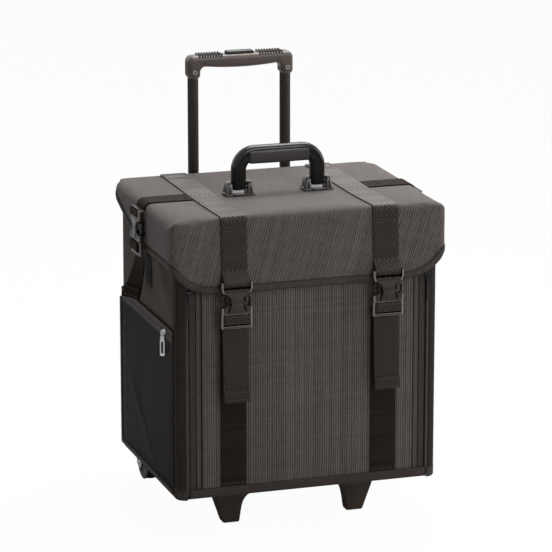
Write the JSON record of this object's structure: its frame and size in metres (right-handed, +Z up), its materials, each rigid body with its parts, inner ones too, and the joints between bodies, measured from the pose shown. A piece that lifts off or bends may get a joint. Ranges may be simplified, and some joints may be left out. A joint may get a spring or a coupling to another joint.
{
  "type": "rolling makeup train case",
  "caption": "Soft-sided rolling makeup case with an overhanging buckled lid, a drop-down zip front, mesh side pockets, a carry handle and a telescopic pull handle.",
  "frame": {"origin": "middle of the footprint on the floor that the feet and wheels stand on", "axes": "+Z up, -Y towards the front with the drop-down panel, +X to the right as seen from the front"},
  "size_m": [0.4308, 0.3588, 0.639],
  "materials": {
    "woven_fabric": "ribbed charcoal nylon over board",
    "webbing": "dark woven webbing",
    "mesh": "black open net",
    "lining_cloth": "plain black lining",
    "zip_tape": "woven tape with nylon coil",
    "black_plastic": "moulded, satin",
    "gloss_plastic": "moulded, glossy",
    "soft_grip": "matt soft grip",
    "tube_metal": "satin black tube",
    "rod_metal": "drawn",
    "steel": "bright",
    "tyre_rubber": "matt"
  },
  "bodies": {
    "case": {"base_board": "woven_fabric", "left_side_panel": "woven_fabric", "right_side_panel": "woven_fabric", "back_panel": "woven_fabric", "lining": "lining_cloth", "wheel_brackets": "black_plastic", "wheel_axles": "steel", "front_feet": "black_plastic", "trolley_base": "black_plastic", "trolley_top_bracket": "black_plastic", "outer_tubes": "tube_metal", "case_screws": "steel", "mesh_pockets": "mesh", "pocket_zips": "zip_tape", "case_zip_tapes": "zip_tape", "side_anchor_straps": "webbing", "lid_hinge_tape": "webbing"},
    "lid": {"lid_shell": "woven_fabric", "lid_lining": "lining_cloth", "lid_straps": "webbing", "cross_straps": "webbing", "front_sockets": "gloss_plastic", "side_sockets": "gloss_plastic", "handle_brackets": "gloss_plastic", "handle_pins": "steel", "bracket_rivets": "steel"},
    "carry_handle": {"handle_shell": "gloss_plastic", "handle_grip": "soft_grip"},
    "front_panel": {"front_panel": "woven_fabric", "front_panel_top": "woven_fabric", "front_base_straps": "webbing", "panel_zip_tapes": "zip_tape"},
    "middle_stage": {"middle_tubes": "tube_metal"},
    "inner_stage": {"inner_tubes": "tube_metal", "pull_grip": "black_plastic", "grip_screws": "steel"},
    "release_button": {"release_button": "black_plastic", "push_rods": "rod_metal"},
    "left_lock_pin": {"left_lock_pin": "steel"},
    "right_lock_pin": {"right_lock_pin": "steel"},
    "left_wheel": {"left_wheel": "black_plastic", "left_tyre": "tyre_rubber"},
    "right_wheel": {"right_wheel": "black_plastic", "right_tyre": "tyre_rubber"},
    "front_left_buckle": {"front_left_plug": "gloss_plastic", "front_left_tail": "webbing"},
    "front_right_buckle": {"front_right_plug": "gloss_plastic", "front_right_tail": "webbing"},
    "left_side_buckle": {"left_side_plug": "gloss_plastic", "left_side_tail": "webbing"},
    "right_side_buckle": {"right_side_plug": "gloss_plastic", "right_side_tail": "webbing"},
    "left_pocket_slider": {"left_pocket_slider": "steel"},
    "left_pocket_pull": {"left_pocket_pull": "steel"},
    "right_pocket_slider": {"right_pocket_slider": "steel"},
    "right_pocket_pull": {"right_pocket_pull": "steel"},
    "left_front_slider": {"left_front_slider": "steel"},
    "left_front_pull": {"left_front_pull": "steel"},
    "right_front_slider": {"right_front_slider": "steel"},
    "right_front_pull": {"right_front_pull": "steel"}
  },
  "joints": [
    {"name": "lid_hinge", "type": "hinge", "parent": "case", "child": "lid", "pos_m": [0, 0.145, 0.454], "axis": [-1, 0, 0], "range_deg": [0, 63], "deforming": ["lid_hinge_tape", "front_panel_top"]},
    {"name": "carry_handle_fold", "type": "hinge", "parent": "lid", "child": "carry_handle", "pos_m": [0, -0.018, 0.477], "axis": [1, 0, 0], "range_deg": [-86, 86]},
    {"name": "front_panel_drop", "type": "hinge", "parent": "case", "child": "front_panel", "pos_m": [0, -0.157, 0.066], "axis": [1, 0, 0], "range_deg": [0, 92], "deforming": ["front_panel_top"]},
    {"name": "middle_stage_slide", "type": "slide", "parent": "case", "child": "middle_stage", "axis": [0, 0, 1], "range_m": [0, 0.23]},
    {"name": "inner_stage_slide", "type": "slide", "parent": "middle_stage", "child": "inner_stage", "axis": [0, 0, 1], "range_m": [-0.15, 0.1]},
    {"name": "release_button_press", "type": "slide", "parent": "inner_stage", "child": "release_button", "axis": [0, 0, -1], "range_m": [0, 0.004], "stiffness_N_per_m": 500, "springref_m": -0.005},
    {"name": "left_lock_pin_draw", "type": "slide", "parent": "inner_stage", "child": "left_lock_pin", "axis": [1, 0, 0], "range_m": [0, 0.002]},
    {"name": "right_lock_pin_draw", "type": "slide", "parent": "inner_stage", "child": "right_lock_pin", "axis": [-1, 0, 0], "range_m": [0, 0.002]},
    {"name": "left_wheel_spin", "type": "hinge", "parent": "case", "child": "left_wheel", "pos_m": [-0.147, 0.1494, 0.03], "axis": [1, 0, 0], "continuous": true},
    {"name": "right_wheel_spin", "type": "hinge", "parent": "case", "child": "right_wheel", "pos_m": [0.147, 0.1494, 0.03], "axis": [1, 0, 0], "continuous": true},
    {"name": "front_left_buckle_release", "type": "slide", "parent": "front_panel", "child": "front_left_buckle", "axis": [0, 0, -1], "range_m": [0, 0.035], "deforming": ["front_left_plug", "front_left_tail"]},
    {"name": "front_right_buckle_release", "type": "slide", "parent": "front_panel", "child": "front_right_buckle", "axis": [0, 0, -1], "range_m": [0, 0.035], "deforming": ["front_right_plug", "front_right_tail"]},
    {"name": "left_side_buckle_release", "type": "slide", "parent": "case", "child": "left_side_buckle", "axis": [0, 0, -1], "range_m": [0, 0.03], "deforming": ["left_side_plug", "left_side_tail"]},
    {"name": "right_side_buckle_release", "type": "slide", "parent": "case", "child": "right_side_buckle", "axis": [0, 0, -1], "range_m": [0, 0.03], "deforming": ["right_side_plug", "right_side_tail"]},
    {"name": "left_pocket_zip", "type": "slide", "parent": "case", "child": "left_pocket_slider", "axis": [0, 1, 0], "range_m": [-0.03, 0.22]},
    {"name": "left_pocket_pull_swing", "type": "hinge", "parent": "left_pocket_slider", "child": "left_pocket_pull", "pos_m": [-0.1983, -0.103, 0.297], "axis": [0, 1, 0], "range_deg": [0, 75]},
    {"name": "right_pocket_zip", "type": "slide", "parent": "case", "child": "right_pocket_slider", "axis": [0, 1, 0], "range_m": [-0.03, 0.22]},
    {"name": "right_pocket_pull_swing", "type": "hinge", "parent": "right_pocket_slider", "child": "right_pocket_pull", "pos_m": [0.1983, -0.103, 0.297], "axis": [0, -1, 0], "range_deg": [0, 75]},
    {"name": "left_front_zip", "type": "slide", "parent": "case", "child": "left_front_slider", "axis": [0, 0, -1], "range_m": [0, 0.27]},
    {"name": "left_front_pull_swing", "type": "hinge", "parent": "left_front_slider", "child": "left_front_pull", "pos_m": [-0.176, -0.1639, 0.361], "axis": [-1, 0, 0], "range_deg": [0, 75]},
    {"name": "right_front_zip", "type": "slide", "parent": "case", "child": "right_front_slider", "axis": [0, 0, -1], "range_m": [0, 0.27]},
    {"name": "right_front_pull_swing", "type": "hinge", "parent": "right_front_slider", "child": "right_front_pull", "pos_m": [0.176, -0.1639, 0.361], "axis": [-1, 0, 0], "range_deg": [0, 75]}
  ],
  "couplings": [
    {"joint": "left_lock_pin_draw", "follows": "release_button_press", "ratio": 0.5},
    {"joint": "right_lock_pin_draw", "follows": "release_button_press", "ratio": 0.5}
  ]
}
